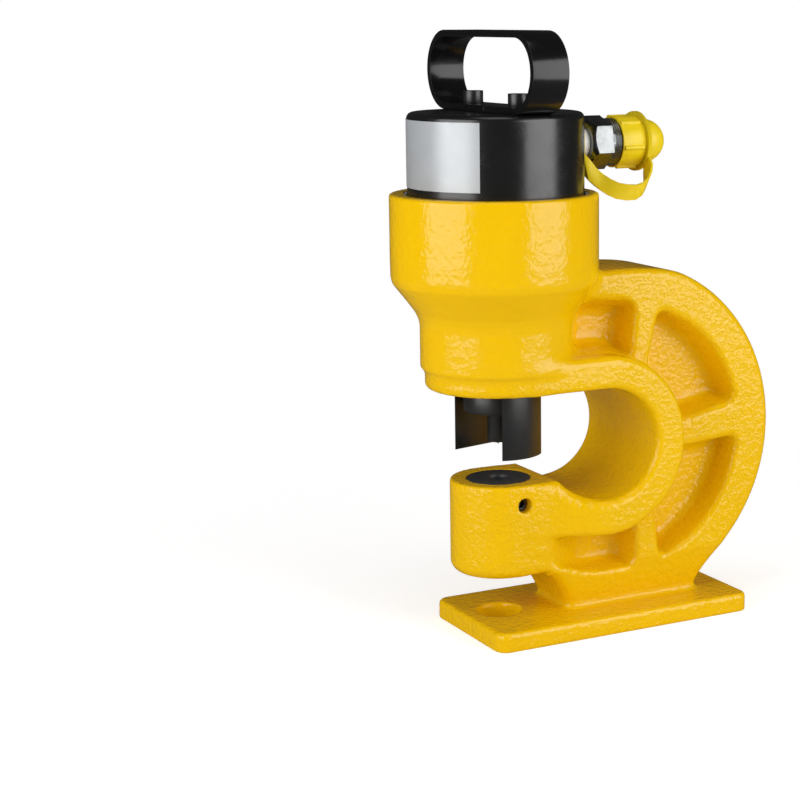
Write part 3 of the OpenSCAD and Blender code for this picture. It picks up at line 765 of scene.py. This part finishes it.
def make_finishes():
    GROUPS.update(build_groups())
    c = colours()
    FINISHES.update(
        paint=cast_paint(),
        cylinder=black_gloss("cylinder black", c.cylinder, 0.22, 0.3, 160.0, 0.04, 0.75),
        handle=black_gloss("handle black", c.handle, 0.15, 0.22, 120.0, 0.05, 0.45),
        oxide=black_gloss("black oxide", c.oxide, 0.3, 0.4, 900.0, 0.02, 0.8),
        die=black_gloss("die steel", c.die, 0.34, 0.44, 900.0, 0.02, 0.6),
        steel=turned_metal("ground steel", (0.55, 0.56, 0.57), 0.18, 0.3, ROUND_Z),
        steel_x=turned_metal("ground steel valve", (0.55, 0.56, 0.57), 0.2, 0.32, ROUND_X),
        spring=turned_metal("spring steel", (0.3, 0.3, 0.32), 0.3, 0.42, ROUND_Z, metallic=0.9),
        zinc=turned_metal("bright zinc", c.zinc, 0.22, 0.38, ROUND_X, thread_from=THREAD_START),
        bronze=turned_metal("turned bronze", (0.62, 0.42, 0.17), 0.25, 0.4, ROUND_Z),
        label=label_foil(),
        washer=moulded("white washer", (0.9, 0.9, 0.87)),
        cap=moulded("cap plastic", c.cap),
        seal=moulded("seal rubber", (0.015, 0.02, 0.025), 0.5, 0.65),
        wear_ring=moulded("wear ring", (0.42, 0.24, 0.08), 0.4, 0.55),
    )


# operators

# How far the springs shorten, a trace over their joints' ranges
RAM_TRAVEL = 0.0262
POPPET_TRAVEL = 0.0031


class PieceOperator:
    """What all steps share: execute runs the step's build"""

    bl_options = {"REGISTER", "UNDO"}

    def execute(self, context):
        self.build()
        return {"FINISHED"}


class PUNCH_OT_finishes(PieceOperator, bpy.types.Operator):
    """Make the finishes that all pieces share"""

    bl_idname = "punch.finishes"
    bl_label = "Finishes"

    def build(self):
        make_finishes()


class PUNCH_OT_casting(PieceOperator, bpy.types.Operator):
    """Cast C-frame with rounded rims, ribs, band, anvil, barrel, cup and base plate"""

    bl_idname = "punch.casting"
    bl_label = "Casting"

    def build(self):
        step = sizes().voxel / MM
        low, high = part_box("c_frame")
        margin = 2.5 * step
        axes = [
            np.arange(a / MM - margin, b / MM + margin + step, step, dtype=np.float32)
            for a, b in zip(low, high)
        ]
        x, y, z = axes[0][:, None, None], axes[1][None, :, None], axes[2][None, None, :]
        field = casting_field(x, y, z)
        points, quads = skin(field, [a[0] for a in axes], step)
        obj = piece_from("casting", points, quads)
        dress(obj, FINISHES["paint"], "frame_paint", "c_frame")


class PUNCH_OT_cylinder(PieceOperator, bpy.types.Operator):
    """Black cylinder, its blank label and the grub screws in the seam"""

    bl_idname = "punch.cylinder"
    bl_label = "Cylinder"

    def build(self):
        keep("cylinder_body", FINISHES["cylinder"])
        keep("label_plate", FINISHES["label"])
        obj = edged("cylinder_lock_screws", "seam_grub_screws", 0.4)
        dress(obj, FINISHES["oxide"], "black_oxide", "cylinder_lock_screws")


class PUNCH_OT_handle(PieceOperator, bpy.types.Operator):
    """Bent strip handle and its two socket head screws"""

    bl_idname = "punch.handle"
    bl_label = "Handle"

    def build(self):
        obj = edged("carry_handle", "strip_handle", 0.9, segments=3)
        dress(obj, FINISHES["handle"], "handle_black", "carry_handle")
        obj = edged("handle_screws", "handle_socket_screws", 0.5)
        dress(obj, FINISHES["oxide"], "black_oxide", "handle_screws")


class PUNCH_OT_coupler(PieceOperator, bpy.types.Operator):
    """Washer and coupler half with its hexagon and nose"""

    bl_idname = "punch.coupler"
    bl_label = "Coupler"

    def build(self):
        obj = edged("port_washer", "thread_seal_washer", 0.5)
        dress(obj, FINISHES["washer"], "washer_white", "port_washer")
        obj = edged("coupler_body", "coupler_half", 0.4, angle=20)
        dress(obj, FINISHES["zinc"], "zinc", "coupler_body")
        keep("valve_poppet", FINISHES["steel_x"])


class PUNCH_OT_cap(PieceOperator, bpy.types.Operator):
    """Dust cap with its ribs and knob, the strap's ring and the strap"""

    bl_idname = "punch.cap"
    bl_label = "Dust cap"

    def build(self):
        obj = edged("dust_cap", "ribbed_dust_cap", 0.6)
        dress(obj, FINISHES["cap"], "cap_yellow", "dust_cap")
        obj = edged("cap_ring", "strap_ring_on_cap", 0.5)
        dress(obj, FINISHES["cap"], "cap_yellow", "cap_ring")
        obj = edged("cap_strap", "bent_strap", 0.35, angle=50)
        obj.data.materials.append(FINISHES["cap"])
        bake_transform(obj)
        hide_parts("cap_strap")


class PUNCH_OT_tooling(PieceOperator, bpy.types.Operator):
    """Stripper fork, punch, nut, die and the die's lock screw"""

    bl_idname = "punch.tooling"
    bl_label = "Tooling"

    def build(self):
        for node, name, width in (
            ("stripper_fork", "fork_stripper", 0.9),
            ("punch_nut", "punch_holding_nut", 0.8),
            ("punch", "round_punch", 0.3),
            ("die", "round_die", 0.6),
            ("die_lock_screw", "die_grub_screw", 0.4),
        ):
            obj = edged(node, name, width)
            dress(obj, FINISHES["die" if node == "die" else "oxide"], "black_oxide", node)


class PUNCH_OT_inner_parts(PieceOperator, bpy.types.Operator):
    """Finishes of the pieces inside the cylinder and the barrel"""

    bl_idname = "punch.inner_parts"
    bl_label = "Inner parts"

    def build(self):
        for node, finish in (
            ("piston", "steel"), ("ram_rod", "steel"), ("piston_screw", "oxide"), ("guide_bush", "bronze"),
            ("piston_seal", "seal"), ("rod_wiper", "seal"), ("piston_wear_ring", "wear_ring"),
        ):
            keep(node, FINISHES[finish])
        for node, name, joint, axis, travel in (
            ("return_spring", "ram_return_spring", "ram_slide", 2, RAM_TRAVEL),
            ("poppet_spring", "coupler_poppet_spring", "poppet_slide", 0, POPPET_TRAVEL),
        ):
            obj = edged(node, name, 0.2)
            dress(obj, FINISHES["spring"], "steel", node)
            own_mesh(obj)


CAMERA_PLACE = (-0.57009, -1.10312, 0.40275)
CAMERA_TARGET = (0.05101, 0.0, 0.18744)
CAMERA_ROLL = math.radians(-0.123)
FLOOR_GLOW = 0.55
BACKGROUND = "ShaderNodeBackground"
FOCAL_PIXELS = 1929.0
CENTRE_PIXEL = (565.36, 345.10)


def add_camera():
    data = bpy.data.cameras.new("photo camera")
    data.sensor_width = 36.0
    data.lens = FOCAL_PIXELS / PHOTO_PIXELS * data.sensor_width
    data.shift_x = (PHOTO_PIXELS / 2 - CENTRE_PIXEL[0]) / PHOTO_PIXELS
    data.shift_y = (CENTRE_PIXEL[1] - PHOTO_PIXELS / 2) / PHOTO_PIXELS
    data.clip_start, data.clip_end = 0.05, 30.0
    camera = bpy.data.objects.new("photo camera", data)
    bpy.context.scene.collection.objects.link(camera)
    place, target = Vector(CAMERA_PLACE), Vector(CAMERA_TARGET)
    ahead = (target - place).normalized()
    right = ahead.cross(Vector((0, 0, 1))).normalized()
    up = right.cross(ahead)
    tilted_right = right * math.cos(CAMERA_ROLL) + up * math.sin(CAMERA_ROLL)
    tilted_up = up * math.cos(CAMERA_ROLL) - right * math.sin(CAMERA_ROLL)
    turn = Matrix((tilted_right, tilted_up, -ahead)).transposed()
    camera.matrix_world = Matrix.Translation(place) @ turn.to_4x4()
    bpy.context.scene.camera = camera


def add_softbox(name, azimuth, elevation, distance, width, height, power, aim=(0.05, 0.0, 0.19)):
    """A soft area light; azimuth 0 is behind -Y and turns towards +X"""
    data = bpy.data.lights.new(name, "AREA")
    data.shape = "RECTANGLE"
    data.size, data.size_y = width, height
    data.energy = power
    light = bpy.data.objects.new(name, data)
    bpy.context.scene.collection.objects.link(light)
    a, e = math.radians(azimuth), math.radians(elevation)
    way = Vector((math.sin(a) * math.cos(e), -math.cos(a) * math.cos(e), math.sin(e)))
    light.location = Vector(aim) + way * distance
    light.rotation_euler = (-way).to_track_quat("-Z", "Y").to_euler()
    return light


class PUNCH_OT_stage(PieceOperator, bpy.types.Operator):
    """Camera, pale floor, soft lights and white surroundings"""

    bl_idname = "punch.stage"
    bl_label = "Stage"

    def build(self):
        add_camera()
        scene = bpy.context.scene
        scene.view_settings.view_transform = "Standard"

        mesh = bpy.data.meshes.new("floor")
        reach = 6.0
        corners = [(-reach, -reach, 0), (reach, -reach, 0), (reach, reach, 0), (-reach, reach, 0)]
        mesh.from_pydata(corners, [], [(0, 1, 2, 3)])
        floor = bpy.data.objects.new("floor", mesh)
        scene.collection.objects.link(floor)
        mesh.materials.append(self.pale_floor())

        world = bpy.data.worlds.new("white room")
        scene.world = world
        world.use_nodes = True
        nodes, links = world.node_tree.nodes, world.node_tree.links
        room, mirrored, seen = nodes["Background"], nodes.new(BACKGROUND), nodes.new(BACKGROUND)
        for background, strength in ((room, 0.22), (mirrored, 0.03), (seen, 1.0)):
            background.inputs["Color"].default_value = (1, 1, 1, 1)
            background.inputs["Strength"].default_value = strength
        path = nodes.new("ShaderNodeLightPath")
        inner = nodes.new("ShaderNodeMixShader")
        links.new(path.outputs["Is Glossy Ray"], inner.inputs[0])
        links.new(room.outputs[0], inner.inputs[1])
        links.new(mirrored.outputs[0], inner.inputs[2])
        mix = nodes.new("ShaderNodeMixShader")
        links.new(path.outputs["Is Camera Ray"], mix.inputs[0])
        links.new(inner.outputs[0], mix.inputs[1])
        links.new(seen.outputs[0], mix.inputs[2])
        links.new(mix.outputs[0], nodes["World Output"].inputs["Surface"])

        add_softbox("left softbox", -80.0, 10.0, 1.35, 1.2, 1.3, 15.5)
        add_softbox("right softbox", 31.0, 10.0, 1.35, 1.1, 1.3, 14.5)
        add_softbox("top", -20.0, 75.0, 1.6, 0.9, 0.9, 3.0)

    def pale_floor(self):
        """White to the camera away from the object; near it a pale floor that takes the soft shadow"""
        material, n, l, shader, at = new_finish("pale floor")
        path = n.new("ShaderNodeLightPath")
        away = n.new("ShaderNodeVectorMath")
        away.operation = "DISTANCE"
        l.new(at, away.inputs[0])
        away.inputs[1].default_value = (0.07, 0.0, 0.0)
        far = spread(n, l, away.outputs["Value"], 0.16, 0.55, 0.0, 1.0)
        far_seen = reckon(n, l, "MULTIPLY", far, path.outputs["Is Camera Ray"])
        near_white = rgba((FLOOR_GLOW,) * 3)
        glow = blend_colour(n, l, far, near_white, (1.0, 1.0, 1.0, 1.0))
        dark = (0.0, 0.0, 0.0, 1.0)
        l.new(blend_colour(n, l, path.outputs["Is Camera Ray"], dark, glow), shader.inputs["Emission Color"])
        shader.inputs["Emission Strength"].default_value = 1.0
        mirrored = reckon(n, l, "MULTIPLY", path.outputs["Is Glossy Ray"], 0.8)
        hidden = reckon(n, l, "MAXIMUM", far_seen, mirrored)
        l.new(blend_colour(n, l, hidden, rgba(colours().floor), dark), shader.inputs["Base Color"])
        shader.inputs["Roughness"].default_value = 0.7
        shader.inputs["Specular IOR Level"].default_value = 0.0
        return material


class PUNCH_PT_panel(bpy.types.Panel):
    """Lists the pieces of the hole punch"""

    bl_label = "Hole Punch"
    bl_space_type = "VIEW_3D"
    bl_region_type = "UI"
    bl_category = "Hole Punch"

    def draw(self, context):
        for operator in STEPS:
            self.layout.operator(operator.bl_idname)
        for group in (context.scene.punch_sizes, context.scene.punch_colours):
            box = self.layout.box()
            for name in group.bl_rna.properties.keys():
                if name not in {"rna_type", "name"}:
                    box.prop(group, name)


STEPS = (
    PUNCH_OT_finishes,
    PUNCH_OT_stage,
    PUNCH_OT_casting,
    PUNCH_OT_cylinder,
    PUNCH_OT_handle,
    PUNCH_OT_coupler,
    PUNCH_OT_cap,
    PUNCH_OT_tooling,
    PUNCH_OT_inner_parts,
)
CLASSES = (PunchSizes, PunchColours) + STEPS + (PUNCH_PT_panel,)


def register():
    for item in CLASSES:
        bpy.utils.register_class(item)
    bpy.types.Scene.punch_sizes = bpy.props.PointerProperty(type=PunchSizes)
    bpy.types.Scene.punch_colours = bpy.props.PointerProperty(type=PunchColours)


def unregister():
    del bpy.types.Scene.punch_colours
    del bpy.types.Scene.punch_sizes
    for item in reversed(CLASSES):
        bpy.utils.unregister_class(item)


def main():
    register()
    for step in STEPS:
        family, name = step.bl_idname.split(".")
        getattr(getattr(bpy.ops, family), name)()


if __name__ == "__main__":
    main()
